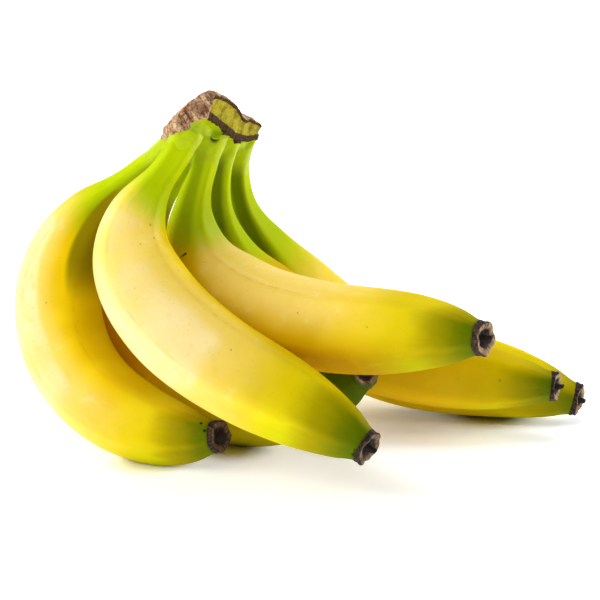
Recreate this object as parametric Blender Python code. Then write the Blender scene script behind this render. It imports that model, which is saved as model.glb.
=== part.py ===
"""A bunch of six bananas on one cut crown, resting on the backs of three of them.

Every number below is in millimetres or degrees and becomes metres when a point is placed. The bunch
stands on z = 0, its stalks hang from the crown, and the bananas sweep away along +X. All of it is then
moved sideways as one, so that the origin lies under the middle of its box.
"""

from math import cos, pi, radians, sin

import bmesh
import bpy
import numpy as np
from mathutils import Vector

MM = 0.001
BUNCH = "Bunch of bananas"

# Each banana: where its stalk starts inside the crown, the compass heading its bend opens to, the
# sideways lean of the plane it bends in, its angle from straight down at five stations, its length
# along the middle, its widest radius, the stalk's radius, and how far down the stalk its skin begins.
BANANAS = {
    "far_left": dict(
        root=(-51, -2, 137.8), heading=-24, lean=-6.5, bend=(-57, -52, -14.5, 57, 102), length=209,
        widest=19.4, stalk=6.1, sunk=1
    ),
    "front": dict(
        root=(-43.5, -21.5, 156), heading=-14, lean=-13.5, bend=(-5.5, -35, 29.5, 64.5, 62), length=197,
        widest=19.8, stalk=6.4, sunk=10
    ),
    "right": dict(
        root=(-36, -6, 147), heading=-27, lean=1.5, bend=(-17.5, -12.5, 58, 92, 89.5), length=198,
        widest=19.4, stalk=6.0, sunk=4
    ),
    "back_right": dict(
        root=(-31.5, 15, 143.3), heading=-7, lean=11.5, bend=(-20.5, 5, 50.5, 76, 87), length=227.5,
        widest=18.7, stalk=6.7, sunk=3
    ),
    "far_right": dict(
        root=(-28.5, 38, 137.5), heading=-17.5, lean=25.5, bend=(-21.5, 10.5, 35.5, 79.5, 77), length=243,
        widest=22.2, stalk=7.8, sunk=1
    ),
    "under": dict(
        root=(-45.5, 13, 146), heading=-29, lean=4.5, bend=(-23, -37, 9.5, 89, 128), length=241,
        widest=19.1, stalk=6.9, sunk=10
    ),
}
BEND_STATIONS = (0, 0.18, 0.40, 0.70, 1)

# The body's radius as a share of the widest: a slim stalk, a full middle, a short neck at the tip.
STALK_STATIONS = (0, 0.08, 0.17)
STALK_GIRTH = (1, 0.95, 1.03)
BODY_STATIONS = (0.26, 0.36, 0.50, 0.65, 0.78, 0.88, 0.95, 0.985, 1)
BODY_GIRTH = (0.62, 0.90, 1, 0.99, 0.92, 0.75, 0.53, 0.37, 0.34)

# Five soft ridges run the length of each banana, one of them along its back.
RIDGES = 5
RIDGE_STATIONS = (0, 0.15, 0.30, 0.60, 0.85, 1)
RIDGE_HEIGHT = (0.03, 0.05, 0.035, 0.025, 0.045, 0.02)

SIDES = 20
SECTIONS = 36
TIP_CUT = 3

# The dry blossom end beyond each tip: distance from the cut tip and share of the tip's radius, from the
# middle of its back face over the flared rim and the dished front to the point of its nub.
BLOSSOM_PROFILE = (
    (0.3, 0), (0.3, 0.86), (1.4, 0.98), (3.6, 0.96), (5.2, 0.82), (5.0, 0.60), (4.0, 0.42), (4.2, 0.24),
    (6.0, 0.16), (6.4, 0),
)
BLOSSOM_SIDES = 12
BLOSSOM_LOBES = 0.05

# The crown, section by section from its front end to its back: the top and the foot of the pale cut
# face, the lower edge of the dry skin on the other side, and how far the green cushion hangs below.
CROWN_STATIONS = (-29.5, -26, -10, 8, 12, 28, 42, 49)
FACE_TOP_X = (-35.5, -34.6, -30.4, -25.7, -24.6, -21.2, -17.6, -19)
FACE_TOP_Z = (158.5, 159, 157.2, 150.7, 147.8, 145.1, 141.1, 138.8)
FACE_FOOT_X = (-37.5, -36.8, -33, -27.5, -26.8, -22.2, -18.6, -20.5)
FACE_FOOT_Z = (153.8, 153.2, 148.1, 141.3, 140.5, 138, 137.6, 136.4)
SKIN_EDGE_X = (-51.5, -53.5, -56.5, -58, -57.5, -51, -42, -38)
SKIN_EDGE_Z = (148.5, 147.5, 145, 142.5, 142, 139, 137, 136)
CUSHION_DROP = (0.5, 1, 9, 11, 10, 8, 6, 3)
CROWN_SECTIONS = 20

# The middle of the bunch's box, in the frame of the numbers above.
MIDDLE_X = 4.67
MIDDLE_Y = 8.35

SOCKET_GAP = 0.35
SOCKET_REACH = 0.16
SOCKET_SECTIONS = 8


def along(stations, values, at):
    """A smooth curve through values at stations, read at the given places."""
    x = np.asarray(stations, float)
    v = np.asarray(values, float)
    slope = np.gradient(v, x)
    i = np.clip(np.searchsorted(x, at) - 1, 0, len(x) - 2)
    width = x[i + 1] - x[i]
    k = (at - x[i]) / width
    start = v[i] * (1 + 2 * k) * (1 - k) ** 2 + slope[i] * width * k * (1 - k) ** 2
    end = v[i + 1] * k * k * (3 - 2 * k) - slope[i + 1] * width * k * k * (1 - k)
    return start + end


def wrapped_tube(place, around, lengthwise):
    """A closed tube: a flat grid rolled up, its points set by place(turn, share), its ends filled."""
    mesh = bmesh.new()
    bmesh.ops.create_grid(mesh, x_segments=around, y_segments=lengthwise, size=0.5)
    for vertex in mesh.verts:
        vertex.co = place(vertex.co.x + 0.5, vertex.co.y + 0.5)
    bmesh.ops.remove_doubles(mesh, verts=mesh.verts, dist=1e-6)
    bmesh.ops.dissolve_degenerate(mesh, edges=mesh.edges, dist=1e-6)
    bmesh.ops.holes_fill(mesh, edges=mesh.edges, sides=0)
    bmesh.ops.recalc_face_normals(mesh, faces=mesh.faces)
    return mesh


class Spine:
    """The middle line of a banana, with its bend, and the frame its cross-sections stand in."""

    STEPS = 400

    def __init__(self, root, heading, lean, bend, length, widest, stalk, sunk):
        self.length = length
        self.widest = widest
        self.stalk = stalk
        self.sunk = sunk
        self.shares = np.linspace(0, 1, self.STEPS + 1)
        angle = np.radians(along(BEND_STATIONS, bend, self.shares))
        opens = np.array((cos(radians(heading)), sin(radians(heading)), 0))
        aside = np.array((-opens[1], opens[0], 0))
        down = aside * sin(radians(lean)) - np.array((0, 0, cos(radians(lean))))
        self.ahead = np.outer(np.cos(angle), down) + np.outer(np.sin(angle), opens)
        self.back = np.outer(np.sin(angle), down) - np.outer(np.cos(angle), opens)
        self.side = np.cross(down, opens)
        step = (self.ahead[1:] + self.ahead[:-1]) / 2 * length / self.STEPS
        self.points = np.array(root) + np.vstack((np.zeros(3), np.cumsum(step, axis=0)))

    def at(self, share, line):
        return np.array([np.interp(share, self.shares, line[:, axis]) for axis in range(3)])

    def radius(self, share):
        stations = STALK_STATIONS + BODY_STATIONS
        stalk = np.array(STALK_GIRTH) * self.stalk
        body = np.array(BODY_GIRTH) * self.widest
        return float(along(stations, np.concatenate((stalk, body)), share))

    def surface(self, share, turn, grown=0.0):
        """The point on the skin at that share of the length, turned from the back of the bend."""
        ridge = float(along(RIDGE_STATIONS, RIDGE_HEIGHT, share)) * cos(RIDGES * 2 * pi * turn)
        radius = self.radius(share) * (1 + ridge) + grown
        outward = self.at(share, self.back) * cos(2 * pi * turn) + self.side * sin(2 * pi * turn)
        return self.at(share, self.points) + outward * radius


def add_object(name, mesh, collection, material=None, parent=None):
    data = bpy.data.meshes.new(name)
    mesh.to_mesh(data)
    mesh.free()
    data.shade_smooth()
    data.set_sharp_from_angle(angle=radians(40))
    made = bpy.data.objects.new(name, data)
    collection.objects.link(made)
    made.parent = parent
    if material:
        data.materials.append(material)
    else:
        made.hide_render = True
        made.display_type = "WIRE"
    return made


def painted(name, colour, roughness):
    material = bpy.data.materials.new(name)
    material.use_nodes = True
    shader = material.node_tree.nodes["Principled BSDF"]
    shader.inputs["Base Color"].default_value = (*colour, 1)
    shader.inputs["Roughness"].default_value = roughness
    shader.inputs["Metallic"].default_value = 0
    return material


def banana_body(spine):
    """One banana from inside the crown to its cut tip, with a flat spot where it meets the ground."""
    first = spine.sunk / spine.length
    last = 1 - TIP_CUT / spine.length

    def place(turn, share):
        return Vector(spine.surface(first + (last - first) * share, turn)) * MM

    mesh = wrapped_tube(place, SIDES, SECTIONS)
    cut = bmesh.ops.bisect_plane(
        mesh, geom=mesh.verts[:] + mesh.edges[:] + mesh.faces[:], plane_co=(0, 0, 0), plane_no=(0, 0, 1),
        dist=1e-7, clear_inner=True
    )
    rim = [item for item in cut["geom_cut"] if isinstance(item, bmesh.types.BMEdge)]
    if rim:
        bmesh.ops.edgeloop_fill(mesh, edges=rim)
        bmesh.ops.recalc_face_normals(mesh, faces=mesh.faces)
    return mesh


def stalk_cutter(spine):
    """The top of a stalk, a little larger, that cuts its socket in the crown."""
    first = (spine.sunk - SOCKET_GAP) / spine.length

    def place(turn, share):
        return Vector(spine.surface(first + (SOCKET_REACH - first) * share, turn, SOCKET_GAP)) * MM

    return wrapped_tube(place, SIDES, SOCKET_SECTIONS)


def blossom_end(spine):
    """The shrivelled remains of the flower, a dished and flared cap with a nub in its middle."""
    cut = 1 - TIP_CUT / spine.length
    centre = spine.at(cut, spine.points)
    ahead = spine.at(cut, spine.ahead)
    back = spine.at(cut, spine.back)
    tip_radius = spine.radius(cut)

    def place(turn, share):
        distance, width = BLOSSOM_PROFILE[round(share * (len(BLOSSOM_PROFILE) - 1))]
        lobes = 1 + BLOSSOM_LOBES * cos(RIDGES * 2 * pi * turn)
        outward = back * cos(2 * pi * turn) + spine.side * sin(2 * pi * turn)
        return Vector(centre + ahead * distance + outward * width * lobes * tip_radius) * MM

    return wrapped_tube(place, BLOSSOM_SIDES, len(BLOSSOM_PROFILE) - 1)


def crown_section(station):
    """The crown's outline across its row of stalks, as (x, z) points from the cut face round."""
    at = CROWN_STATIONS[0] + (CROWN_STATIONS[-1] - CROWN_STATIONS[0]) * station
    top = np.array((along(CROWN_STATIONS, FACE_TOP_X, at), along(CROWN_STATIONS, FACE_TOP_Z, at)))
    foot = np.array((along(CROWN_STATIONS, FACE_FOOT_X, at), along(CROWN_STATIONS, FACE_FOOT_Z, at)))
    edge = np.array((along(CROWN_STATIONS, SKIN_EDGE_X, at), along(CROWN_STATIONS, SKIN_EDGE_Z, at)))
    drop = float(along(CROWN_STATIONS, CUSHION_DROP, at))
    lip = foot + (-0.4, -2)
    under_lip = foot + (-4.5, -2.8)
    hem = edge + (0.6, -3.2)
    under_hem = edge + (2.6, -3.4)
    ridge = top + (-3.4, 2.6)
    across = under_hem - under_lip
    hang = np.array((0, -drop))
    return at, [
        top,
        foot,
        lip,
        under_lip,
        under_lip + 0.05 * across + 0.45 * hang,
        under_lip + 0.25 * across + 0.6 * hang,
        under_lip + 0.50 * across + 0.8 * hang,
        under_lip + 0.75 * across + hang,
        under_lip + 0.95 * across + 0.8 * hang,
        under_hem,
        hem,
        edge,
        edge + 0.25 * (ridge - edge) + (-0.9, 0.9),
        edge + 0.60 * (ridge - edge) + (-0.9, 0.9),
        edge + 0.88 * (ridge - edge) + (-0.4, 0.4),
        ridge,
    ]


def crown_block():
    """The crown before its sockets are cut: a roof of dry skin and a cut face over a green cushion."""
    sides = len(crown_section(0)[1])

    def place(turn, share):
        y, outline = crown_section(share)
        x, z = outline[round(turn * sides) % sides]
        return Vector((x, y, z)) * MM

    return wrapped_tube(place, sides, CROWN_SECTIONS)


def main():
    for leftover in list(bpy.data.objects):
        bpy.data.objects.remove(leftover)
    bunch = bpy.data.collections.new(BUNCH)
    cutters = bpy.data.collections.new("Cutters")
    bpy.context.scene.collection.children.link(bunch)
    bpy.context.scene.collection.children.link(cutters)
    cutters.hide_render = True

    peel = painted("Yellow peel", (0.86, 0.62, 0.06), 0.38)
    skin = painted("Dry crown skin", (0.30, 0.16, 0.09), 0.85)
    blossom = painted("Dry blossom", (0.06, 0.03, 0.02), 0.9)

    middle = bpy.data.objects.new("Middle", None)
    middle.location = Vector((-MIDDLE_X, -MIDDLE_Y, 0)) * MM
    bunch.objects.link(middle)

    crown = add_object("crown", crown_block(), bunch, skin, parent=middle)
    for name, shape in BANANAS.items():
        spine = Spine(**shape)
        body = add_object("banana_" + name, banana_body(spine), bunch, peel, parent=middle)
        add_object("blossom_end_" + name, blossom_end(spine), bunch, blossom, parent=body)
        cutter = add_object("socket_" + name, stalk_cutter(spine), cutters, parent=middle)
        socket = crown.modifiers.new("Socket " + name, "BOOLEAN")
        socket.operation = "DIFFERENCE"
        socket.object = cutter


main()
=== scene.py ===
"""A bunch of six bananas on one cut crown, standing on a pale floor in soft studio light.

Sizes below are in millimetres and degrees, as in the part's own source, and become metres when a
point is placed. Each banana is drawn along its own bent middle line.
"""

from math import cos, pi, radians, sin

import bmesh
import bpy
import numpy as np
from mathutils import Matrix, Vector, noise

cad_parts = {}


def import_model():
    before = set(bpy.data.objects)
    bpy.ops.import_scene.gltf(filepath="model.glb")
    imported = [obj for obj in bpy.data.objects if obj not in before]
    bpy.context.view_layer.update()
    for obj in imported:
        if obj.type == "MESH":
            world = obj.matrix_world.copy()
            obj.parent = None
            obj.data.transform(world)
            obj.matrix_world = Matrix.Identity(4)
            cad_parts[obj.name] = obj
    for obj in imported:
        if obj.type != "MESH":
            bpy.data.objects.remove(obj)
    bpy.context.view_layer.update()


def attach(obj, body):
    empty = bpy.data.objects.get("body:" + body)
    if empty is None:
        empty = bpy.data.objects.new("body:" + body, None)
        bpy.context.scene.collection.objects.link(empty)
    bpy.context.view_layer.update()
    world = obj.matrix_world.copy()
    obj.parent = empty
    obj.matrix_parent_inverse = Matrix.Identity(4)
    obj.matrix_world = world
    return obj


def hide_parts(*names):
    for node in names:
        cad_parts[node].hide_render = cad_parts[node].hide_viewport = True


MM = 0.001

# The bunch's middle lines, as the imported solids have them.
MIDDLE = np.array((4.67, 8.35, 0))
BANANAS = {
    "far_left": dict(
        root=(-51, -2, 137.8), heading=-24, lean=-6.5, bend=(-57, -52, -14.5, 57, 102), length=209,
        widest=19.4, stalk=6.1, sunk=1
    ),
    "front": dict(
        root=(-43.5, -21.5, 156), heading=-14, lean=-13.5, bend=(-5.5, -35, 29.5, 64.5, 62), length=197,
        widest=19.8, stalk=6.4, sunk=10
    ),
    "right": dict(
        root=(-36, -6, 147), heading=-27, lean=1.5, bend=(-17.5, -12.5, 58, 92, 89.5), length=198,
        widest=19.4, stalk=6.0, sunk=4
    ),
    "back_right": dict(
        root=(-31.5, 15, 143.3), heading=-7, lean=11.5, bend=(-20.5, 5, 50.5, 76, 87), length=227.5,
        widest=18.7, stalk=6.7, sunk=3
    ),
    "far_right": dict(
        root=(-28.5, 38, 137.5), heading=-17.5, lean=25.5, bend=(-21.5, 10.5, 35.5, 79.5, 77), length=243,
        widest=22.2, stalk=7.8, sunk=1
    ),
    "under": dict(
        root=(-45.5, 13, 146), heading=-29, lean=4.5, bend=(-23, -37, 9.5, 89, 128), length=241,
        widest=19.1, stalk=6.9, sunk=10
    ),
}
BEND_STATIONS = (0, 0.18, 0.40, 0.70, 1)
STALK_STATIONS = (0, 0.08, 0.17)
STALK_GIRTH = (1, 0.95, 1.03)
BODY_STATIONS = (0.26, 0.36, 0.50, 0.65, 0.78, 0.88, 0.95, 0.985, 1)
BODY_GIRTH = (0.62, 0.90, 1, 0.99, 0.92, 0.75, 0.53, 0.37, 0.34)
TIP_CUT = 3

# Five ridges run along each banana, sharper than the solids can show them.
# A crest is a soft five-sided outline less its middle height, as a share of how far it reaches.
RIDGES = 5
RIDGE_STATIONS = (0, 0.15, 0.30, 0.60, 0.85, 1)
RIDGE_HEIGHT = (0.04, 0.065, 0.04, 0.03, 0.05, 0.02)
RIDGE_SOFTNESS = radians(12.5)
CREST_MIDDLE = 1.07
CREST_REACH = 0.0426

# The crown, section by section from its front end to its back.
CROWN_STATIONS = (-29.5, -26, -10, 8, 12, 28, 42, 49)
FACE_TOP_X = (-35.5, -34.6, -30.4, -25.7, -24.6, -21.2, -17.6, -19)
FACE_TOP_Z = (158.5, 159, 157.2, 150.7, 147.8, 145.1, 141.1, 138.8)
FACE_FOOT_X = (-37.5, -36.8, -33, -27.5, -26.8, -22.2, -18.6, -20.5)
FACE_FOOT_Z = (153.8, 153.2, 148.1, 141.3, 140.5, 138, 137.6, 136.4)
SKIN_EDGE_X = (-51.5, -53.5, -56.5, -58, -57.5, -51, -42, -38)
SKIN_EDGE_Z = (148.5, 147.5, 145, 142.5, 142, 139, 137, 136)
CUSHION_DROP = (0.5, 1, 9, 11, 10, 8, 6, 3)
CORNERS = 16

# The crown and the tops of its stalks are grown together on a grid of this size, down to this share of
# the stalks' length. Then the forks are smoothed in many rounds and the whole in a few. Three small pits
# lie in the forks between the stalks, dented in and painted dark as shade.
VOXEL = 0.55
STUB_REACH = 0.115
FORK_ROUNDS = 34
ALL_ROUNDS = 4
SHADED_PITS = ((-28.5, -3, 137.5), (-24.5, 24, 134.5), (-35.5, -12, 141.5))

# How many faces each shape has round it and along it.
PEEL_FACES = (90, 230)
BLOSSOM_FACES = (72, 84)
CROWN_FACES = (CORNERS * 5, 110)
STUB_FACES = (48, 40)

# How each peel is coloured: the shares of the length where the neck's green fades out and the tip's
# comes in; how strong its paler middle is, partly its own waxy paleness and partly a painted highlight,
# which turn faces the light most, how narrow that band is and how much later it starts towards the back,
# on the shaded side; how honey-brown the peel has ripened all over, and how much painted shade browns the
# side away from the light; how strong a painted shade its inner side has, where a neighbour shades it,
# from which turn on and up to which share; and how dark a painted shade the neck's green has on one face
# between two ridges, where the stalks shade each other, round which turn and up to which share.
# "Fuller" is how far, in millimetres, the neck swells on its back.
PEELS = {
    "far_left": dict(neck=(0.17, 0.29), tip=(0.86, 0.98), pale=(1.0, 0.18, 1.0, 0.0), ripe_and_shade=(0.15, 0.0),
                     inner_shade=(1.0, 0.235, 0.56), neck_shade=(0.6, 0.345, 0.25), fuller=0.0),
    "front": dict(neck=(0.16, 0.25), tip=(0.82, 0.97), pale=(0.95, 0.14, 0.6, 0.0), ripe_and_shade=(0.0, 0.1),
                  inner_shade=(0.2, 0.40, 0.40), neck_shade=(0.1, 0.27, 0.20), fuller=0.0),
    "right": dict(neck=(0.18, 0.28), tip=(0.855, 0.98), pale=(0.72, 0.45, 2.2, 1.4), ripe_and_shade=(0.15, 0.85),
                  inner_shade=(0.0, 0.40, 0.40), neck_shade=(0.6, 0.255, 0.27), fuller=2.0),
    "back_right": dict(neck=(0.20, 0.32), tip=(0.875, 0.98), pale=(0.0, 0.40, 1.0, 0.0), ripe_and_shade=(0.55, 0.3),
                       inner_shade=(0.0, 0.40, 0.40), neck_shade=(1.0, 0.27, 0.22), fuller=0.0),
    "far_right": dict(neck=(0.19, 0.34), tip=(0.87, 1.0), pale=(0.35, 0.52, 1.0, 0.0), ripe_and_shade=(0.0, 0.3),
                      inner_shade=(0.0, 0.40, 0.40), neck_shade=(1.0, 0.325, 0.27), fuller=0.0),
    "under": dict(neck=(0.20, 0.36), tip=(0.62, 0.92), pale=(0.0, 0.40, 1.0, 0.0), ripe_and_shade=(0.9, 0.3),
                  inner_shade=(0.8, 0.20, 0.70), neck_shade=(0.6, 0.30, 0.30), fuller=0.0),
}

CAMERA_TARGET = (0, 0, 70)
CAMERA_DISTANCE = 650
CAMERA_ELEVATION = 12
CAMERA_LENS = 89.7


def along(stations, values, at):
    """A smooth curve through values at stations, read at the given places."""
    x = np.asarray(stations, float)
    v = np.asarray(values, float)
    slope = np.gradient(v, x)
    i = np.clip(np.searchsorted(x, at) - 1, 0, len(x) - 2)
    width = x[i + 1] - x[i]
    k = (at - x[i]) / width
    start = v[i] * (1 + 2 * k) * (1 - k) ** 2 + slope[i] * width * k * (1 - k) ** 2
    end = v[i + 1] * k * k * (3 - 2 * k) - slope[i + 1] * width * k * k * (1 - k)
    return start + end


def eased(value, low, high):
    """0 below low and 1 above high, with a soft step between; high below low turns it round."""
    k = np.clip((np.asarray(value, float) - low) / (high - low), 0, 1)
    return k * k * (3 - 2 * k)


def grain(points, size, seed=0.0):
    """Soft noise from -1 to 1 at each point, with lumps of about that size."""
    shift = Vector((seed * 7.3, seed * 3.1, seed * 5.7))
    return np.array([noise.noise(Vector(point) / size + shift) for point in points])


def crest(turn):
    """How far the skin stands out at a turn: most on a ridge, below 0 in the middle of a face."""
    face = pi / RIDGES
    away = np.abs((turn * RIDGES + 0.5) % 1 - 0.5) * 2 * face
    rounded = np.minimum(np.sqrt(away * away + RIDGE_SOFTNESS ** 2), face)
    return (1 / np.cos(face - rounded) - CREST_MIDDLE) / CREST_REACH


def near_ridge(turn):
    """1 on a ridge, fading to 0 about a third of the way across the faces beside it."""
    away = np.abs((turn * RIDGES + 0.5) % 1 - 0.5) * 2
    return eased(away, 0.36, 0.0)


class Spine:
    """The middle line of a banana and the frame that its cross-sections stand in."""

    STEPS = 400

    def __init__(self, root, heading, lean, bend, length, widest, stalk, sunk):
        self.length = length
        self.widest = widest
        self.stalk = stalk
        self.sunk = sunk
        self.shares = np.linspace(0, 1, self.STEPS + 1)
        angle = np.radians(along(BEND_STATIONS, bend, self.shares))
        opens = np.array((cos(radians(heading)), sin(radians(heading)), 0))
        aside = np.array((-opens[1], opens[0], 0))
        down = aside * sin(radians(lean)) - np.array((0, 0, cos(radians(lean))))
        self.ahead = np.outer(np.cos(angle), down) + np.outer(np.sin(angle), opens)
        self.back = np.outer(np.sin(angle), down) - np.outer(np.cos(angle), opens)
        self.side = np.cross(down, opens)
        step = (self.ahead[1:] + self.ahead[:-1]) / 2 * length / self.STEPS
        start = np.array(root) - MIDDLE
        self.points = start + np.vstack((np.zeros(3), np.cumsum(step, axis=0)))
        self.cut = 1 - TIP_CUT / length

    def at(self, share, line):
        return np.stack([np.interp(share, self.shares, line[:, axis]) for axis in range(3)], axis=-1)

    def radius(self, share):
        stations = STALK_STATIONS + BODY_STATIONS
        stalk = np.array(STALK_GIRTH) * self.stalk
        body = np.array(BODY_GIRTH) * self.widest
        return along(stations, np.concatenate((stalk, body)), share)

    def nearest(self, points, last):
        """The share and turn of each point beside the line's start, and its distance from the line."""
        line = self.points[:int(last * self.STEPS)]
        gaps = np.linalg.norm(points[:, None] - line[None], axis=2)
        step = gaps.argmin(axis=1)
        out = points - line[step]
        turn = np.arctan2(out @ self.side, (out * self.back[step]).sum(1)) / (2 * pi) % 1
        return self.shares[step], turn, gaps.min(axis=1)

    def surface(self, share, turn, grown=0.0):
        """Points on the skin at shares of the length, turned from the back of the bend."""
        ridge = along(RIDGE_STATIONS, RIDGE_HEIGHT, share) * crest(turn)
        radius = self.radius(share) * (1 + ridge) + grown
        angle = 2 * pi * np.asarray(turn)
        outward = self.at(share, self.back) * np.cos(angle)[:, None] + self.side * np.sin(angle)[:, None]
        return self.at(share, self.points) + outward * radius[:, None]


def neck_shade_depth(look, share, turn):
    """How much painted shade darkens the neck's green, from 0 to 1: most on one face between two ridges,
    where the stalks shade each other.
    """
    depth, middle, until = look["neck_shade"]
    across = eased(np.abs(turn - middle), 0.115, 0.03)
    return depth * across * eased(share, 0.02, 0.08) * eased(share, until + 0.06, until - 0.03)


def rolled_grid(around, lengthwise):
    """A flat grid for rolling into a tube, with each vertex's turn and share of the length."""
    mesh = bmesh.new()
    bmesh.ops.create_grid(mesh, x_segments=around, y_segments=lengthwise, size=0.5)
    flat = np.array([vertex.co[:] for vertex in mesh.verts])
    return mesh, flat[:, 0] + 0.5, flat[:, 1] + 0.5


def closed_tube(mesh, points, notes):
    """Puts the grid's vertices at points in millimetres, notes values on them and closes the tube."""
    layers = {}
    for name, values in notes.items():
        kind = mesh.verts.layers.float if np.ndim(values) == 1 else mesh.verts.layers.float_vector
        layers[kind.new(name)] = values
    for number, vertex in enumerate(mesh.verts):
        vertex.co = Vector(points[number]) * MM
        for layer, values in layers.items():
            vertex[layer] = values[number]
    bmesh.ops.remove_doubles(mesh, verts=mesh.verts, dist=1e-6)
    bmesh.ops.dissolve_degenerate(mesh, edges=mesh.edges, dist=1e-7)
    bmesh.ops.holes_fill(mesh, edges=mesh.edges, sides=0)
    bmesh.ops.recalc_face_normals(mesh, faces=mesh.faces)
    return mesh


def finished_piece(name, mesh, finish, node):
    """Makes the piece that stands for a solid, with its finish, riding on the part's body."""
    data = bpy.data.meshes.new(name)
    mesh.to_mesh(data)
    mesh.free()
    return dressed(name, data, finish, node)


def dressed(name, data, finish, node):
    """Puts a mesh into the scene with its finish, in the place of the solid that it stands for."""
    data.shade_smooth()
    data.materials.clear()
    data.materials.append(finish)
    piece = bpy.data.objects.new(name, data)
    bpy.context.scene.collection.objects.link(piece)
    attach(piece, "root")
    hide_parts(node)
    return piece


class Value:
    """A number that varies over a surface. Python's operators on it add Math nodes."""

    def __init__(self, finish, socket):
        self.finish = finish
        self.socket = socket

    def __add__(self, other):
        return self.finish.math("ADD", self, other)

    def __radd__(self, other):
        return self.finish.math("ADD", other, self)

    def __sub__(self, other):
        return self.finish.math("SUBTRACT", self, other)

    def __rsub__(self, other):
        return self.finish.math("SUBTRACT", other, self)

    def __mul__(self, other):
        return self.finish.math("MULTIPLY", self, other)

    def __rmul__(self, other):
        return self.finish.math("MULTIPLY", other, self)

    def step(self, low, high):
        """0 below low and 1 above high, with a soft step between."""
        if high < low:
            return 1 - self.step(high, low)
        settings = dict(interpolation_type="SMOOTHSTEP")
        sockets = {"Value": self, "From Min": low, "From Max": high}
        return Value(self.finish, self.finish.node("MapRange", settings, sockets).outputs[0])

    def capped(self):
        """The value kept between 0 and 1."""
        return self.finish.math("MINIMUM", self.finish.math("MAXIMUM", self, 0.0), 1.0)


class Finish:
    """A material and the steps that build it."""

    def __init__(self, name, constants):
        self.material = bpy.data.materials.new(name)
        self.material.use_nodes = True
        self.tree = self.material.node_tree
        self.shader = self.tree.nodes["Principled BSDF"]
        for socket, value in constants.items():
            self.join(value, self.shader.inputs[socket])

    def join(self, value, socket):
        """Links a value or a socket, or sets a plain number or colour."""
        if isinstance(value, Value):
            value = value.socket
        if isinstance(value, bpy.types.NodeSocket):
            self.tree.links.new(value, socket)
        elif socket.type == "RGBA":
            socket.default_value = (*value, 1)
        else:
            socket.default_value = value

    def node(self, kind, settings, sockets):
        """Adds a node: its settings first, then the value or the link of each socket."""
        made = self.tree.nodes.new("ShaderNode" + kind)
        for name, value in settings.items():
            setattr(made, name, value)
        for name, value in sockets.items():
            self.join(value, made.inputs[name])
        return made

    def math(self, operation, *values):
        made = self.node("Math", dict(operation=operation), dict(enumerate(values)))
        return Value(self, made.outputs[0])

    def mix(self, factor, first, second):
        """A colour between two, the second where the factor is 1."""
        return self.node("Mix", dict(data_type="RGBA"), {0: factor, 6: first, 7: second}).outputs[2]

    def vector(self, operation, first, second):
        made = self.node("VectorMath", dict(operation=operation), {0: first, 1: second})
        return made.outputs["Vector"]

    def distance(self, first, second):
        made = self.node("VectorMath", dict(operation="DISTANCE"), {0: first, 1: second})
        return Value(self, made.outputs["Value"])

    def noted(self, name):
        """A number noted on the piece's vertices."""
        made = self.node("Attribute", dict(attribute_name=name), {})
        return Value(self, made.outputs["Fac"])

    def noted_vector(self, name):
        return self.node("Attribute", dict(attribute_name=name), {}).outputs["Vector"]

    def place(self):
        """The piece's own coordinates, in metres."""
        return self.node("TexCoord", {}, {}).outputs["Object"]

    def noise(self, vector, scale, detail=3.0, roughness=0.5):
        sockets = {"Vector": vector, "Scale": scale, "Detail": detail, "Roughness": roughness}
        return Value(self, self.node("TexNoise", {}, sockets).outputs[0])

    def cells(self, vector, scale):
        """The distance from the nearest of many scattered points, and a random number for each."""
        made = self.node("TexVoronoi", {}, {"Vector": vector, "Scale": scale})
        parts = self.node("SeparateColor", {}, {"Color": made.outputs["Color"]})
        return Value(self, made.outputs["Distance"]), Value(self, parts.outputs[0])

    def bump(self, height, distance, strength):
        sockets = {"Height": height, "Distance": distance, "Strength": strength}
        return self.node("Bump", {}, sockets).outputs["Normal"]

    def done(self, **sockets):
        """Joins what varies to the shader, by its sockets' names, and hands over the material."""
        for name, value in sockets.items():
            self.join(value, self.shader.inputs[name.replace("_", " ")])
        return self.material


def colour(red, green, blue):
    """A colour from its display values of 0 to 255."""
    values = (red / 255, green / 255, blue / 255)
    return tuple(v / 12.92 if v <= 0.04045 else ((v + 0.055) / 1.055) ** 2.4 for v in values)


LEMON = colour(244, 214, 24)
GOLD = colour(228, 192, 2)
HONEY = colour(196, 140, 2)
CREAM = colour(246, 214, 106)
HIGHLIGHT_WHITE = colour(254, 240, 206)
LIME = colour(190, 212, 2)
OLIVE = colour(170, 154, 2)
SHADED = colour(140, 124, 2)
LEAF = colour(96, 114, 2)
MOSS = colour(52, 70, 2)
BARK = colour(92, 66, 48)
PLUM = colour(66, 48, 44)
SOOT = colour(24, 18, 14)
TAN = colour(198, 162, 122)
CUSHION = colour(150, 168, 4)
BARK_RED = colour(150, 98, 66)
BARK_TAN = colour(222, 178, 128)
BARK_PALE = colour(240, 212, 176)
BARK_DARK = colour(92, 58, 48)
BARK_CRACK = colour(70, 44, 42)
HUSK = colour(98, 68, 38)
HUSK_DARK = colour(34, 22, 12)
PITH = colour(182, 170, 16)
PITH_BROWN = colour(150, 128, 16)
PITH_PALE = colour(196, 186, 48)
PITH_STRAND = colour(214, 206, 84)
PITH_DARK = colour(104, 84, 16)
PAPER = colour(250, 250, 248)
PAPER_PALE = colour(254, 254, 252)


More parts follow.
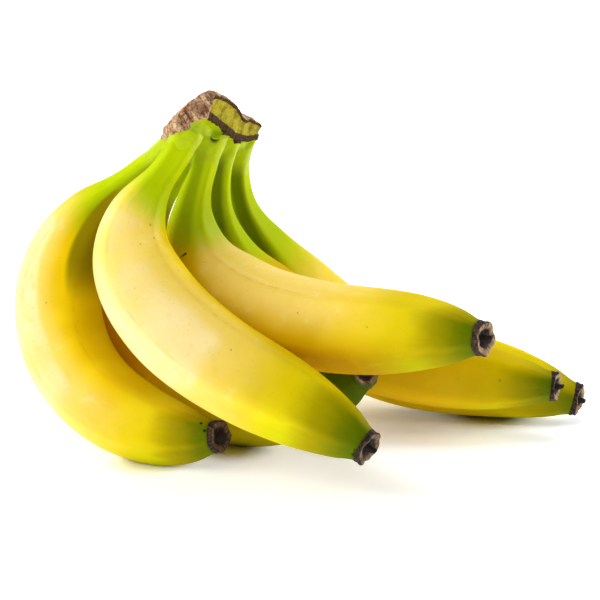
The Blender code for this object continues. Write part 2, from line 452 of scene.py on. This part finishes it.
def peel_finish(name, neck, tip, marks):
    """Waxy yellow peel: green at both ends, paler along the middle with its own waxy paleness and a
    painted highlight, painted shade on its shaded sides and necks, with specks and small scars.
    """
    peel = Finish("Peel " + name, {"Specular IOR Level": 0.0, "Coat Roughness": 0.34,
                                   "Subsurface Weight": 0.08, "Subsurface Radius": (0.9, 0.9, 0.2),
                                   "Subsurface Scale": 0.003})
    share = peel.noted("share")
    ridge = peel.noted("ridge")
    inner = peel.noted("inner")
    straight = peel.noted_vector("straight")
    fibre = peel.vector("MULTIPLY", straight, (1, 1, 0.07))
    broad = peel.noise(straight, 28, 2, 0.5)
    mottle = peel.noise(straight, 140, 4, 0.6)
    fine = peel.noise(straight, 620, 4, 0.65)
    streak = peel.noise(fibre, 420, 3, 0.6)

    ripe_and_shade = peel.noted("ripe_and_shade")
    base = peel.mix(broad.step(0.34, 0.66), LEMON, GOLD)
    # Honey-brown: the peel's own ripening all over, plus painted shade on the side turned away from the
    # light.
    base = peel.mix((ripe_and_shade * (0.85 + broad * 0.3)).capped(), base, HONEY)
    # Paler middle: partly the peel's own waxy paleness, partly a painted highlight on the turns that face
    # the light: cream where weaker, a painted white highlight where strongest.
    bloom_and_highlight = (peel.noted("pale") * (0.55 + broad * 0.55 + mottle * 0.35)).capped()
    base = peel.mix(bloom_and_highlight, base, CREAM)
    base = peel.mix(bloom_and_highlight.step(0.80, 1.05) * 0.45, base, HIGHLIGHT_WHITE)
    base = peel.mix((mottle.step(0.48, 0.72) * 0.30 + fine.step(0.55, 0.75) * 0.12).capped(), base, GOLD)
    base = peel.mix(mottle.step(0.46, 0.26) * bloom_and_highlight * 0.35, base, HIGHLIGHT_WHITE)
    # Painted shade on the inner side, where the neighbouring banana shades it: gold first, then the
    # shaded olive below.
    inner_shade = peel.noted("inner_shade")
    base = peel.mix(inner_shade.step(0.0, 0.4), base, GOLD)
    base = peel.mix((ridge.step(0.5, 1.0) * streak * 0.16).capped(), base, HONEY)
    crease = ridge.step(0.90, 0.99) * (0.25 + streak.step(0.40, 0.60) * 0.75) * mottle.step(0.44, 0.56)
    base = peel.mix(crease * share.step(0.20, 0.28) * share.step(0.72, 0.60) * 0.30, base, HONEY)

    fade = share + (streak - 0.5) * 0.035 + (mottle - 0.5) * 0.03 - inner * 0.05
    base = peel.mix(fade.step(neck[1], neck[0]), base, LIME)
    shade = fade.step(0.02, 0.14) * fade.step(neck[1], neck[0] - 0.02)
    base = peel.mix((shade * (0.10 + inner * 0.10 + mottle.step(0.5, 0.8) * 0.15)).capped(), base, LEAF)
    # Painted shade on one face of the neck, where the stalks shade each other.
    base = peel.mix(peel.noted("neck_shade") * (0.80 + streak * 0.2), base, LEAF)

    # The darkest of the painted shade on the inner side.
    base = peel.mix(inner_shade.step(0.3, 1.0), base, SHADED)

    growth = share + (streak - 0.5) * 0.022 + (mottle - 0.5) * 0.014 + inner * 0.010
    growth = growth - ridge * 0.014 - inner.step(0.86, 1.0) * 0.05
    lime = share.step(tip[0] - 0.14, tip[0] + 0.04) * (0.25 + inner.step(0.45, 0.05) * 0.35)
    base = peel.mix(lime, base, LIME)
    middle = tip[0] * 0.45 + tip[1] * 0.55
    base = peel.mix(growth.step(tip[0], middle), base, OLIVE)
    base = peel.mix(growth.step(middle - 0.02, tip[1] + 0.01), base, LEAF)
    base = peel.mix(growth.step(tip[1], tip[1] + 0.04) * 0.6, base, MOSS)

    specks, chance = peel.cells(straight, 130)
    speck = (specks + fine * 0.05).step(0.085, 0.05) * chance.step(0.72, 0.76)
    freckles, odds = peel.cells(straight, 520)
    freckle = freckles.step(0.22, 0.08) * odds.step(0.62, 0.70)
    base = peel.mix(freckle * 0.22, base, HONEY)
    base = peel.mix(speck * 0.6, base, BARK)
    place = peel.place()
    for centre, size, depth in marks:
        spot = peel.distance(place, centre) + (streak - 0.5) * size * 0.9
        base = peel.mix(spot.step(size * 1.1, size * 0.45) * depth, base, SOOT)

    relief = streak * 0.5 + mottle * 0.5
    normal = peel.bump(relief - speck * 1.2, 0.00022, 0.55)
    roughness = 0.40 + mottle * 0.14 + speck * 0.2
    coat = bloom_and_highlight * 0.42 + 0.06
    return peel.done(Base_Color=base, Roughness=roughness, Normal=normal, Coat_Weight=coat)


def blossom_finish():
    """Dried flower remains: dark brown, fibrous, with a tan rim round a black hollow."""
    dry = Finish("Dry blossom", {"Specular IOR Level": 0.3})
    reach = dry.noted("reach")
    straight = dry.noted_vector("straight")
    fibre = dry.vector("MULTIPLY", straight, (1, 1, 0.25))
    streak = dry.noise(fibre, 700, 4, 0.7)
    mottle = dry.noise(straight, 620, 4, 0.7)
    broad = dry.noise(straight, 240, 3, 0.6)
    base = dry.mix(streak.step(0.40, 0.72), SOOT, BARK)
    base = dry.mix(mottle.step(0.60, 0.72) * 0.45, base, TAN)
    rim = reach.step(0.40, 0.46) * reach.step(0.68, 0.58) * dry.noted("dust")
    dusty = rim * (broad.step(0.34, 0.60) * 0.6 + mottle.step(0.40, 0.62) * 0.7)
    base = dry.mix(dusty.capped(), base, TAN)
    hollow = reach.step(0.58, 0.68)
    base = dry.mix(hollow * 0.8, base, SOOT)
    base = dry.mix(reach.step(0.14, 0.05) * 0.8, base, LEAF)
    base = dry.mix(dry.noted("fresh") * reach.step(0.56, 0.46), base, dry.mix(streak, LEAF, MOSS))
    normal = dry.bump(streak * 0.6 + mottle * 0.6, 0.0006, 0.9)
    return dry.done(Base_Color=base, Roughness=0.72 + mottle * 0.2, Normal=normal)


def crown_finish():
    """The cut crown: green cushion below, dry brown skin on the outside, pale fibrous cut face."""
    crown = Finish("Cut crown", {"Specular IOR Level": 0.12, "Subsurface Weight": 0.05,
                                 "Subsurface Radius": (0.9, 0.6, 0.1), "Subsurface Scale": 0.002})
    place = crown.place()
    skin = crown.noted("skin")
    face = crown.noted("face")
    rim = crown.noted("rim")
    shaded_pit = crown.noted("shaded_pit")
    slope = crown.noted_vector("slope")
    mottle = crown.noise(place, 260, 4, 0.6)
    fine = crown.noise(place, 1100, 4, 0.65)
    fibre = crown.noise(crown.vector("MULTIPLY", slope, (1, 0.20, 1)), 560, 5, 0.7)
    grain = crown.noise(crown.vector("MULTIPLY", slope, (0.22, 1, 1)), 520, 4, 0.65)

    green = crown.mix(mottle.step(0.35, 0.65) * 0.3, LIME, CUSHION)
    # Painted shade: the cushion's green darkens near its underside and where the necks' painted shade
    # carries on into the crown.
    green = crown.mix(crown.noted("hollow") * 0.9, green, LEAF)
    green = crown.mix(fine.step(0.62, 0.8) * 0.2, green, OLIVE)
    # Painted shade in the small pits in the forks between the stalks.
    green = crown.mix((shaded_pit + shaded_pit * (fine - 0.5)).capped(), green, PLUM)

    broad = crown.noise(place, 110, 3, 0.6)
    bark = crown.mix(mottle.step(0.36, 0.60), BARK_RED, BARK_TAN)
    bark = crown.mix(fibre.step(0.50, 0.62) * 0.8, bark, BARK_PALE)
    bark = crown.mix(broad.step(0.50, 0.62) * 0.5, bark, BARK_DARK)
    bark = crown.mix(fibre.step(0.47, 0.37) * 0.85, bark, BARK_CRACK)
    bark = crown.mix(fine.step(0.52, 0.62) * 0.7, bark, PLUM)

    pith = crown.mix(grain.step(0.36, 0.62), PITH_BROWN, PITH)
    pith = crown.mix(broad.step(0.42, 0.60) * 0.6, pith, PITH_PALE)
    pith = crown.mix(grain.step(0.56, 0.72) * 0.35, pith, PITH_STRAND)
    pith = crown.mix(broad.step(0.50, 0.34) * 0.8, pith, PITH_DARK)
    pith = crown.mix(fine.step(0.54, 0.68) * mottle.step(0.62, 0.40) * 0.7, pith, BARK)

    ragged = (fibre - 0.5) * 0.5 + (fine - 0.5) * 0.35
    base = crown.mix((skin + ragged).step(0.42, 0.58), green, bark)
    husk = crown.mix(fine.step(0.35, 0.65), HUSK_DARK, HUSK)
    base = crown.mix((rim + ragged).step(0.40, 0.58), base, husk)
    base = crown.mix((face + ragged * 0.35).step(0.40, 0.56), base, pith)
    relief = fibre * (1 - face) * 0.8 + grain * face * 0.5 + fine * 0.6
    normal = crown.bump(relief, 0.0010, (skin + rim).capped() * 0.85 + 0.14)
    return crown.done(Base_Color=base, Roughness=0.48 + (skin + rim).capped() * 0.35, Normal=normal)


def peel_colouring(look, share, turn):
    """How pale a peel is from its waxy paleness and painted highlight, how brown from ripening and
    painted shade, and how dark from painted shade, at each share and turn, from 0 to 1, for its finish.
    """
    paleness, most_lit_turn, narrow, late = look["pale"]
    # The paler band is a painted highlight centred on the turn that faces the light most; it starts later
    # on the shaded turns towards the back.
    towards = (1 + np.cos(2 * pi * (turn - most_lit_turn))) / 2
    wait = late * np.maximum(most_lit_turn - turn - 0.08, 0) * eased(turn, 0.02, 0.10)
    faded = look["neck"][1]
    pale = eased(towards ** narrow, 0.30, 0.85) * eased(share - wait, faded - 0.09, faded + 0.03)
    pale = pale * eased(share, look["tip"][0], look["tip"][0] - 0.22) * paleness
    # Painted shade on the inner side: darker past a border turn that moves round along the share, with
    # the paler band taken away beside it.
    depth, inside, until = look["inner_shade"]
    border = inside + 0.30 * np.minimum(share, 0.55)
    far_side = eased(turn, 0.80, 0.70)
    pale = pale * (1 - depth * eased(turn, border - 0.13, border - 0.02) * far_side)
    inner_shade = depth * eased(turn, border - 0.03, border + 0.02) * far_side
    inner_shade = inner_shade * eased(share, 0.10, 0.20) * eased(share, until, until - 0.25)
    # Honey-brown all over from ripening, plus painted shade on the side away from the light.
    all_over, away = look["ripe_and_shade"]
    ripe_and_shade = all_over + (1 - all_over) * away * eased(towards, 0.80, 0.35)
    return dict(pale=pale, ripe_and_shade=ripe_and_shade, inner_shade=inner_shade, neck_shade=neck_shade_depth(look, share, turn))


def banana_skin(name, spine, marks):
    """One banana from inside the crown to its cut tip, softly flattened where it rests."""
    mesh, turn, level = rolled_grid(*PEEL_FACES)
    first = spine.sunk / spine.length
    share = first + (spine.cut + 0.001 - first) * level
    angle = 2 * pi * turn
    seed = 1.0 + list(BANANAS).index(name)
    rounded = np.stack((np.cos(angle) * 20, np.sin(angle) * 20, share * spine.length), axis=-1)
    body = eased(share, 0.16, 0.30)
    look = PEELS[name]
    swell = grain(rounded, 34, seed) * 0.45 * body + grain(rounded * (1, 1, 0.35), 9, seed) * 0.10
    fuller = look["fuller"] * eased(np.cos(angle), 0.1, 0.8) * eased(share, 0.10, 0.17)
    swell = swell + fuller * eased(share, 0.40, 0.29)
    points = spine.surface(share, turn, swell)
    low = points[:, 2] < 1.5
    points[low, 2] = np.maximum(points[low, 2], 0.06)
    radius = spine.radius(share)
    straight = np.stack(
        (np.cos(angle) * radius, np.sin(angle) * radius, share * spine.length + seed * 400), axis=-1
    )
    notes = dict(
        share=share, ridge=near_ridge(turn), inner=(1 - np.cos(angle)) / 2, straight=straight * MM
    )
    closed_tube(mesh, points, notes | peel_colouring(look, share, turn))
    placed = []
    for where, around, size, depth in marks:
        point = spine.surface(np.array([where]), np.array([around]))[0]
        placed.append((tuple(point * MM), size * MM, depth))
    finish = peel_finish(name.replace("_", " "), look["neck"], look["tip"], placed)
    return finished_piece("peel_" + name, mesh, finish, "banana_" + name)


# The dry end: distance from the cut tip and share of the tip's radius, from inside the banana over
# the side and the flared rim, down into the hollow and up its nub.
BLOSSOM_REACH = (-1.5, -0.3, 0.7, 2.0, 3.3, 4.4, 5.3, 5.5, 5.0, 4.2, 3.8, 4.3, 5.6, 6.3, 6.5)
BLOSSOM_WIDTH = (0.80, 0.94, 1.00, 0.97, 0.95, 0.98, 0.90, 0.80, 0.66, 0.52, 0.36, 0.24, 0.18, 0.12, 0)

# How dusty each dry end's rim is, what share of its length has worn off on the side that faces front,
# and how green it still is. FRONT is the direction of that side.
BLOSSOM_DUST = dict(far_left=0.15, front=0.45, right=1.0, back_right=1.0, far_right=0.9, under=0.6)
BLOSSOM_WEAR = dict(far_left=0.6, front=0.6, right=0.55, back_right=0.7, far_right=0.55, under=0.9)
BLOSSOM_FRESH = dict(far_left=0.0, front=0.0, right=0.0, back_right=0.0, far_right=0.0, under=0.85)
FRONT = np.array((0, -0.98, 0.2))


def blossom_end(name, spine, finish):
    """The shrivelled flower at a tip, creased along its length, with an uneven rim and a bent nub."""
    mesh, turn, level = rolled_grid(*BLOSSOM_FACES)
    seed = 20.0 + list(BANANAS).index(name)
    stations = np.linspace(0, 1, len(BLOSSOM_REACH))
    reach = along(stations, BLOSSOM_REACH, level)
    width = np.maximum(along(stations, BLOSSOM_WIDTH, level), 0)
    width[level > 0.9999] = 0
    angle = 2 * pi * turn
    ring = np.stack((np.cos(angle) * 7, np.sin(angle) * 7, reach), axis=-1)
    crease = grain(ring * (1, 1, 0.3), 2.6, seed)
    lump = grain(ring, 5, seed + 0.5)
    rim = eased(level, 0.30, 0.42) * eased(level, 0.80, 0.66)
    outside = eased(level, 0.05, 0.16)
    width = width * (1 + 0.03 * np.cos(5 * angle) + (crease * 0.05 + lump * 0.05) * outside)
    bent = eased(level, 0.84, 1.0) * 1.1
    radius = spine.radius(spine.cut)
    share = np.full(len(turn), spine.cut)
    back = spine.at(share, spine.back)
    outward = back * np.cos(angle)[:, None] + spine.side * np.sin(angle)[:, None]
    worn = BLOSSOM_WEAR[name] * outside * eased(level, 0.95, 0.80) * (1 + outward @ FRONT) / 2
    reach = reach * (1 - worn) + rim * (lump * 0.7 + crease * 0.4)
    centre = spine.at(share, spine.points) + spine.at(share, spine.ahead) * reach[:, None]
    points = centre + outward * (width * radius)[:, None] + back * (bent * cos(seed))[:, None]
    points = points + np.outer(bent * sin(seed), spine.side)
    straight = ring + (0, 0, seed * 40)
    notes = dict(
        reach=level, straight=straight * MM, dust=np.full(len(turn), BLOSSOM_DUST[name]),
        fresh=np.full(len(turn), BLOSSOM_FRESH[name])
    )
    closed_tube(mesh, points, notes)
    return finished_piece("dry_end_" + name, mesh, finish, "blossom_end_" + name)


def crown_outline(y):
    """The crown's outline across its row of stalks at each y: sixteen (x, z) points from the cut face."""
    def pair(across, up):
        return np.stack((along(CROWN_STATIONS, across, y), along(CROWN_STATIONS, up, y)), axis=-1)

    top = pair(FACE_TOP_X, FACE_TOP_Z)
    foot = pair(FACE_FOOT_X, FACE_FOOT_Z)
    edge = pair(SKIN_EDGE_X, SKIN_EDGE_Z)
    hang = np.stack((0 * y, -along(CROWN_STATIONS, CUSHION_DROP, y)), axis=-1)
    under_lip = foot + (-4.5, -2.8)
    under_hem = edge + (2.6, -3.4)
    across = under_hem - under_lip
    ridge = top + (-3.4, 2.6)
    outline = [
        top,
        foot,
        foot + (-0.4, -2),
        under_lip,
        under_lip + 0.05 * across + 0.45 * hang,
        under_lip + 0.25 * across + 0.6 * hang,
        under_lip + 0.50 * across + 0.8 * hang,
        under_lip + 0.75 * across + hang,
        under_lip + 0.95 * across + 0.8 * hang,
        under_hem,
        edge + (0.6, -3.2),
        edge,
        edge + 0.25 * (ridge - edge) + (-0.9, 0.9),
        edge + 0.60 * (ridge - edge) + (-0.9, 0.9),
        edge + 0.88 * (ridge - edge) + (-0.4, 0.4),
        ridge,
    ]
    return np.stack(outline, axis=1)


def nearest_on_outline(points):
    """For each point of the crown: where round the outline it lies, 0 to 16, and how far outside it."""
    y = np.clip(points[:, 1] + MIDDLE[1], CROWN_STATIONS[0], CROWN_STATIONS[-1])
    flat = points[:, (0, 2)] + (MIDDLE[0], 0)
    outline = crown_outline(y)
    following = np.roll(outline, -1, axis=1)
    best = np.full(len(points), 1e9)
    where = np.zeros(len(points))
    for number in range(outline.shape[1]):
        start = outline[:, number]
        run = following[:, number] - start
        k = np.clip(((flat - start) * run).sum(1) / np.maximum((run * run).sum(1), 1e-9), 0, 1)
        gap = np.linalg.norm(flat - start - run * k[:, None], axis=1)
        closer = gap < best
        best[closer] = gap[closer]
        where[closer] = number + k[closer]
    return where, best, y


def crown_shell(spines):
    """The plain crown with the tops of its stalks standing in it: a mesh of closed tubes."""
    joined = bmesh.new()
    shell = bpy.data.meshes.new("crown_shell")
    mesh, turn, level = rolled_grid(*CROWN_FACES)
    y = CROWN_STATIONS[0] + (CROWN_STATIONS[-1] - CROWN_STATIONS[0]) * level
    outline = crown_outline(y)
    place = (turn * CORNERS) % CORNERS
    corner = np.floor(place).astype(int) % CORNERS
    part = (place - np.floor(place))[:, None]
    rows = np.arange(len(y))
    flat = outline[rows, corner] * (1 - part) + outline[rows, (corner + 1) % CORNERS] * part
    points = np.stack((flat[:, 0], y, flat[:, 1]), axis=-1) - MIDDLE
    closed_tube(mesh, points, {})
    mesh.to_mesh(shell)
    mesh.free()
    joined.from_mesh(shell)
    for spine in spines.values():
        stub, turn, level = rolled_grid(*STUB_FACES)
        first = spine.sunk / spine.length
        share = first + (STUB_REACH - first) * level
        closed_tube(stub, spine.surface(share, turn, 1.6 - 2.2 * level), {})
        stub.to_mesh(shell)
        stub.free()
        joined.from_mesh(shell)
    joined.to_mesh(shell)
    joined.free()
    return shell


def grown_together(shell):
    """One skin over all the tubes of a mesh."""
    block = bpy.data.objects.new("crown_block", shell)
    bpy.context.scene.collection.objects.link(block)
    remesh = block.modifiers.new("Grown together", "REMESH")
    remesh.mode = "VOXEL"
    remesh.voxel_size = VOXEL * MM
    grown = bpy.data.meshes.new_from_object(block.evaluated_get(bpy.context.evaluated_depsgraph_get()))
    bpy.data.objects.remove(block)
    return grown


def read_vertices(mesh, what):
    """Every vertex's position or normal, as rows of three."""
    values = np.empty(len(mesh.vertices) * 3)
    mesh.vertices.foreach_get(what, values)
    return values.reshape(-1, 3)


def softened(grown):
    """Smooths the forks under the crown, and takes the remesh's small steps out of the rest."""
    where, gap, y = nearest_on_outline(read_vertices(grown, "co") / MM)
    soft = eased(where, 2.6, 4.0) * eased(where, 10.2, 9.2)
    soft = np.maximum(soft, eased(gap, 0.8, 2.0))
    smoothed = bmesh.new()
    smoothed.from_mesh(grown)
    smoothed.verts.ensure_lookup_table()
    under = [smoothed.verts[i] for i in np.flatnonzero(soft > 0.5)]
    all_ways = dict(use_axis_x=True, use_axis_y=True, use_axis_z=True)
    for _ in range(FORK_ROUNDS):
        bmesh.ops.smooth_vert(smoothed, verts=under, factor=0.5, **all_ways)
    for _ in range(ALL_ROUNDS):
        bmesh.ops.smooth_vert(smoothed, verts=smoothed.verts, factor=0.5, **all_ways)
    smoothed.to_mesh(grown)
    smoothed.free()


def crown_regions(local, where, gap, y):
    """How far each point belongs to the dry skin, the cut face, the dark rim and a small dent painted
    dark as shade, 0 to 1.
    """
    near = eased(gap, 2.4, 1.2)
    wobble = grain(local, 4.5, 3) * 0.35 + grain(local, 1.8, 4) * 0.25
    front_end = eased(y, -28.2, -28.9)
    skin = eased(where + wobble, 9.6, 10.2) * near
    above_hem = local[:, 2] - 145.0 - (local[:, 0] + MIDDLE[0] + 50.9) * 0.34
    skin = np.maximum(skin * (1 - front_end), front_end * eased(above_hem + wobble * 2, -0.6, 0.6))
    skin = np.maximum(skin, eased(y, -26.9, -27.8) * eased(where, 3.4, 3.0) * (1 - front_end))
    across_face = where * (where < 1.5)
    face = eased(across_face + wobble * 0.10, 0.06, 0.16) * eased(across_face + wobble * 0.10, 0.97, 0.86)
    face = face * eased(y, -27.0, -25.2) * eased(y, 46.5, 44.5) * (1 - front_end)
    rim = np.maximum(eased(where + wobble * 0.8, 2.45, 2.0), eased(where + wobble * 0.5, 15.75, 15.95))
    rim = np.maximum(rim, eased(where, 1.3, 1.0)) * near * eased(y, -28.0, -27.0)
    shaded_pit = np.zeros(len(local))
    for spot in SHADED_PITS:
        shaded_pit = np.maximum(shaded_pit, eased(np.linalg.norm(local + MIDDLE - spot, axis=1), 2.6, 1.2))
    return dict(skin=skin, face=face, rim=rim, shaded_pit=shaded_pit)


def crown_piece(spines, finish):
    """The crown with the tops of its stalks grown into it, under its dry skin and cut face."""
    grown = grown_together(crown_shell(spines))
    softened(grown)
    local = read_vertices(grown, "co") / MM
    where, gap, y = nearest_on_outline(local)
    notes = crown_regions(local, where, gap, y)
    skin, face, rim, shaded_pit = notes.values()
    rough = grain(local, 1.5, 5) * 0.30 + grain(local, 3.6, 6) * 0.35
    raised = rough * np.maximum(skin, rim * (1 - face)) + 0.5 * skin - 0.7 * face
    raised = raised + 0.3 * grain(local, 2.5, 7) * face - shaded_pit * 0.8
    local = local + read_vertices(grown, "normal") * raised[:, None]
    grown.vertices.foreach_set("co", (local * MM).ravel())

    # Painted shade near the underside of the cushion, under the crown.
    hollow = 0.25 * eased(gap, 1.5, 0.3) * eased(where, 3.0, 3.6) * eased(where, 9.6, 9.0)
    # The necks' painted shade carries on up the stalk tops grown into the crown.
    for name, spine in spines.items():
        share, turn, away = spine.nearest(local, 0.15)
        dark = neck_shade_depth(PEELS[name], share, turn) * eased(away, spine.stalk + 5, spine.stalk + 2)
        hollow = np.maximum(hollow, dark)
    notes["hollow"] = hollow
    for name, values in notes.items():
        grown.attributes.new(name, "FLOAT", "POINT").data.foreach_set("value", values.astype(np.float32))
    x, y, z = local.T
    slope = np.stack((y, z * 1.3 - x * 0.6, z * 0.6 + x), axis=-1) * MM
    noted = grown.attributes.new("slope", "FLOAT_VECTOR", "POINT")
    noted.data.foreach_set("vector", slope.astype(np.float32).ravel())
    grown.update()
    return dressed("crown_grown", grown, finish, "crown")


# The floor, in metres: how wide it is, where it starts in front, how long it is and where it starts to
# curve up. It glows a little, a painted light that keeps it white, with painted shadow in it: a weaker
# glow in the bunch's own shadow and none at all in the painted contact shadows where the bananas rest.
FLOOR_WIDTH = 16
FLOOR_START = -8.0
FLOOR_LENGTH = 12.5
FLOOR_BEND = 2.5
SHADOW = (0.048, 0.060, 0)
CONTACT_SHADOWS = (
    ((0.086, 0.050, 0), 0.008, 0.030),
    ((-0.036, 0.0, 0), 0.006, 0.024),
    ((-0.070, -0.020, 0), 0.006, 0.022),
)
GLOW_SHADED = (0.10, 0.12, 0.15)
GLOW_OPEN = (0.42, 0.44, 0.49)
GLOW_BEHIND = (0.85, 0.85, 0.85)


def pale_floor():
    """A white sweep: flat under the bunch and curved up far behind it."""
    mesh = bmesh.new()
    bmesh.ops.create_grid(mesh, x_segments=1, y_segments=48, size=0.5)
    for vertex in mesh.verts:
        reach = FLOOR_START + FLOOR_LENGTH * (vertex.co.y + 0.5)
        past = max(0.0, reach - FLOOR_BEND)
        vertex.co = (vertex.co.x * FLOOR_WIDTH, min(reach, FLOOR_BEND + past * 0.4), past * past * 0.9)
    bmesh.ops.recalc_face_normals(mesh, faces=mesh.faces)
    data = bpy.data.meshes.new("floor")
    mesh.to_mesh(data)
    mesh.free()
    data.shade_smooth()
    white = Finish("Pale floor", {"Roughness": 0.6, "Specular IOR Level": 0.2, "Emission Strength": 1.0})
    place = white.place()
    paper = white.noise(place, 60, 3, 0.5)
    away = white.distance(place, SHADOW).step(0.018, 0.060)
    behind = white.distance(place, (0, -0.6, 0)).step(0.72, 1.5)
    glow = white.mix(behind, white.mix(away, GLOW_SHADED, GLOW_OPEN), GLOW_BEHIND)
    # Painted contact shadows: no glow round the spots where the bananas rest.
    for spot, dark, clear in CONTACT_SHADOWS:
        glow = white.mix(white.distance(place, spot).step(dark, clear), (0, 0, 0), glow)
    data.materials.append(white.done(Base_Color=white.mix(paper, PAPER, PAPER_PALE), Emission_Color=glow))
    floor = bpy.data.objects.new("floor", data)
    bpy.context.scene.collection.objects.link(floor)


# Each light, in metres and watts: its place, its two sides, its power and its tint.
LIGHTS = {
    "Key": ((-0.36, -0.52, 0.58), (0.6, 0.6), 2.4, (1.0, 0.99, 0.96)),
    "Side": ((-0.74, -0.27, 0.33), (0.5, 0.7), 3.2, (1.0, 1.0, 1.0)),
    "Top": ((0.0, 0.05, 0.88), (0.5, 0.5), 3.7, (1.0, 1.0, 0.98)),
    "Edge": ((0.74, 0.27, 0.25), (0.5, 0.5), 3.7, (1.0, 0.99, 0.96)),
}
LIT_POINT = Vector((0, 0, 0.08))


def soft_light(name, place, size, power, tint):
    """A rectangle of light that faces the middle of the bunch."""
    light = bpy.data.lights.new(name, "AREA")
    light.shape = "RECTANGLE"
    light.size, light.size_y = size
    light.energy = power
    light.color = tint
    lamp = bpy.data.objects.new(name, light)
    lamp.location = place
    lamp.rotation_euler = (Vector(place) - LIT_POINT).to_track_quat("Z", "Y").to_euler()
    bpy.context.scene.collection.objects.link(lamp)


def studio():
    """Four soft lights, a faint sky, and the camera at the photo's viewing angle."""
    world = bpy.data.worlds.new("Studio")
    world.use_nodes = True
    sky = world.node_tree.nodes["Background"]
    sky.inputs["Color"].default_value = (1.0, 0.99, 0.97, 1)
    sky.inputs["Strength"].default_value = 0.04
    bpy.context.scene.world = world
    for name, settings in LIGHTS.items():
        soft_light(name, *settings)
    bpy.context.scene.view_settings.view_transform = "Standard"

    camera = bpy.data.cameras.new("Camera")
    camera.sensor_width = 36
    camera.lens = CAMERA_LENS
    viewer = bpy.data.objects.new("Camera", camera)
    back = Vector((0, -cos(radians(CAMERA_ELEVATION)), sin(radians(CAMERA_ELEVATION))))
    target = (Vector(CAMERA_TARGET) - Vector(MIDDLE)) * MM
    viewer.location = target + back * CAMERA_DISTANCE * MM
    viewer.rotation_euler = back.to_track_quat("Z", "Y").to_euler()
    bpy.context.scene.collection.objects.link(viewer)
    bpy.context.scene.camera = viewer


# Small dark marks on each peel: share of the length, turn from the back of the bend, size and depth of
# colour.
MARKS = {
    "far_left": ((0.972, 0.397, 0.8, 1.0), (0.982, 0.333, 0.8, 1.0), (0.46, 0.30, 0.6, 0.3)),
    "front": ((0.986, 0.14, 1.6, 0.8), (0.984, 0.19, 1.2, 0.6), (0.27, 0.385, 0.7, 0.35),
              (0.31, 0.40, 0.5, 0.4), (0.44, 0.435, 0.7, 0.3)),
    "right": ((0.285, 0.271, 0.8, 0.9), (0.286, 0.264, 0.6, 0.9), (0.287, 0.257, 0.6, 0.8),
              (0.288, 0.250, 0.5, 0.7), (0.289, 0.243, 0.4, 0.6), (0.62, 0.33, 0.5, 0.4),
              (0.78, 0.30, 0.4, 0.4)),
    "back_right": ((0.883, 0.323, 0.6, 0.6), (0.80, 0.30, 0.4, 0.4)),
    "far_right": ((0.875, 0.584, 0.7, 0.5), (0.862, 0.59, 0.5, 0.5)),
    "under": (),
}


def main():
    """Dresses every solid of the bunch and sets up the floor, the lights and the camera."""
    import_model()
    spines = {name: Spine(**shape) for name, shape in BANANAS.items()}
    dry = blossom_finish()
    for name, spine in spines.items():
        banana_skin(name, spine, MARKS[name])
        blossom_end(name, spine, dry)
    crown_piece(spines, crown_finish())
    pale_floor()
    studio()


main()
